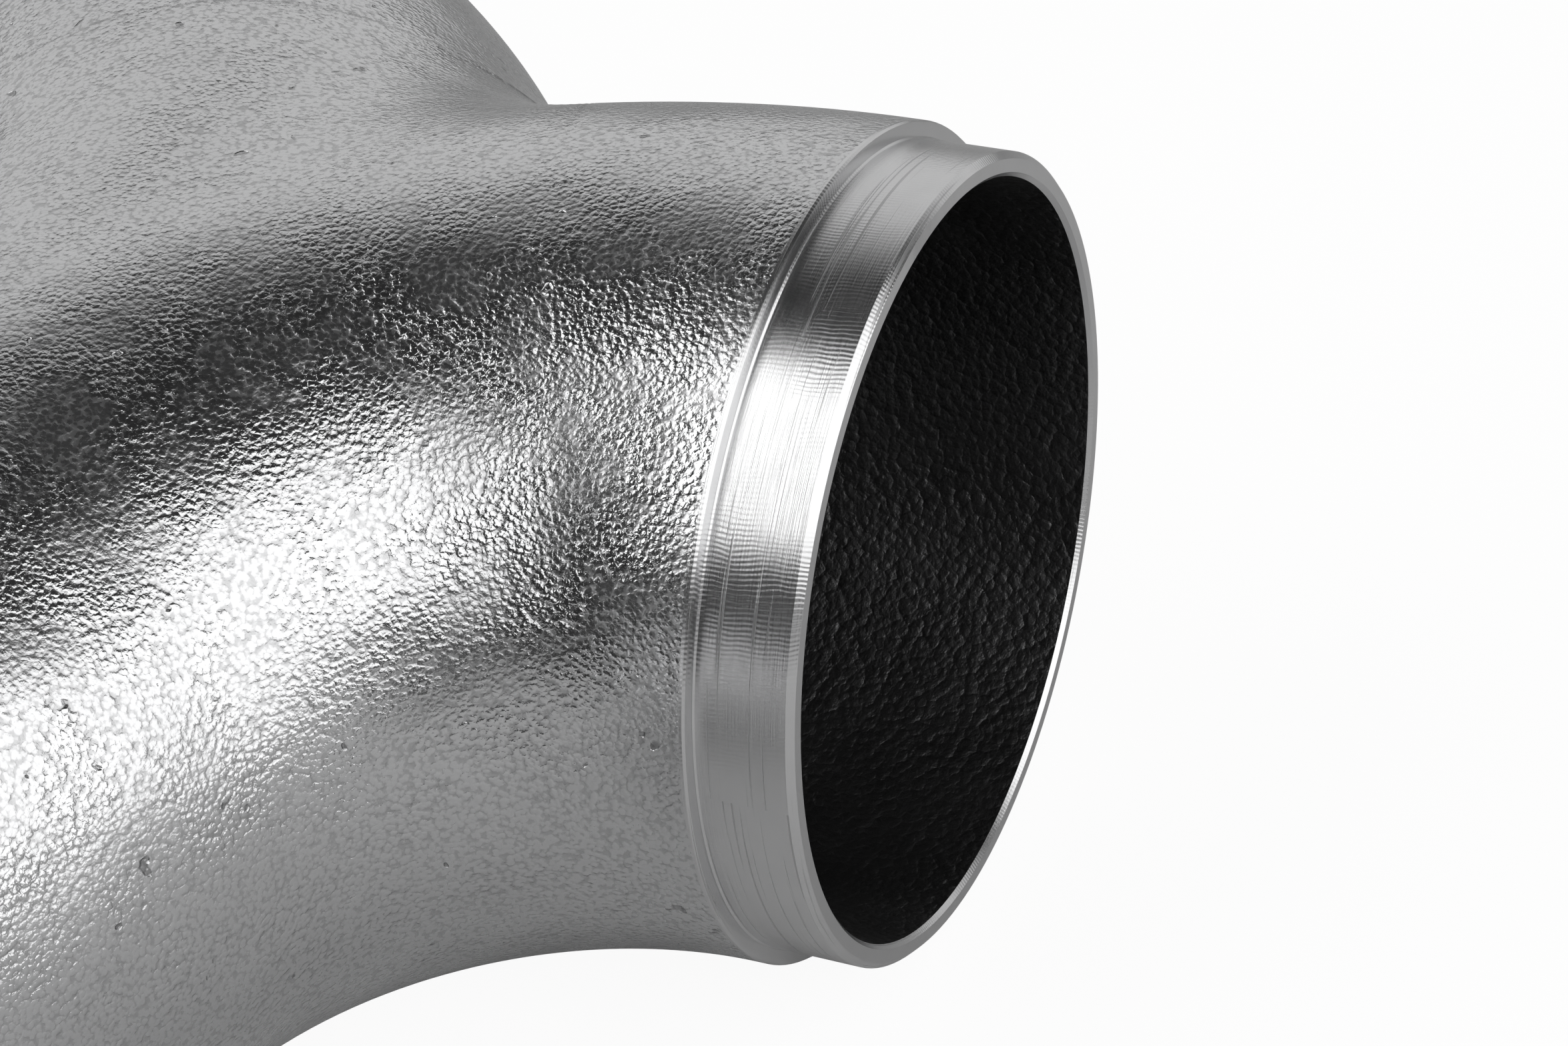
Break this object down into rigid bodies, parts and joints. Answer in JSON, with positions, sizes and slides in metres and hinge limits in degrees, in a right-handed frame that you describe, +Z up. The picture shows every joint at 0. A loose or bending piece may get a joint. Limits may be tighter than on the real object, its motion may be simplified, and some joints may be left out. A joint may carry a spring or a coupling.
{
  "type": "double y-pipe",
  "caption": "Cast stainless double Y-pipe: a short hollow stem that forks at each end into two smooth bends with machined slip-in spigots.",
  "frame": {"origin": "middle of the stem, on the centrelines of the stem and of all the bends", "axes": "+X along the stem, +Y across it in the plane of the bends, +Z up, square to that plane"},
  "size_m": [0.2414, 0.132, 0.076],
  "materials": {
    "cast_steel": "satin"
  },
  "bodies": {
    "root": {"double_y_pipe": "cast_steel"}
  },
  "joints": []
}
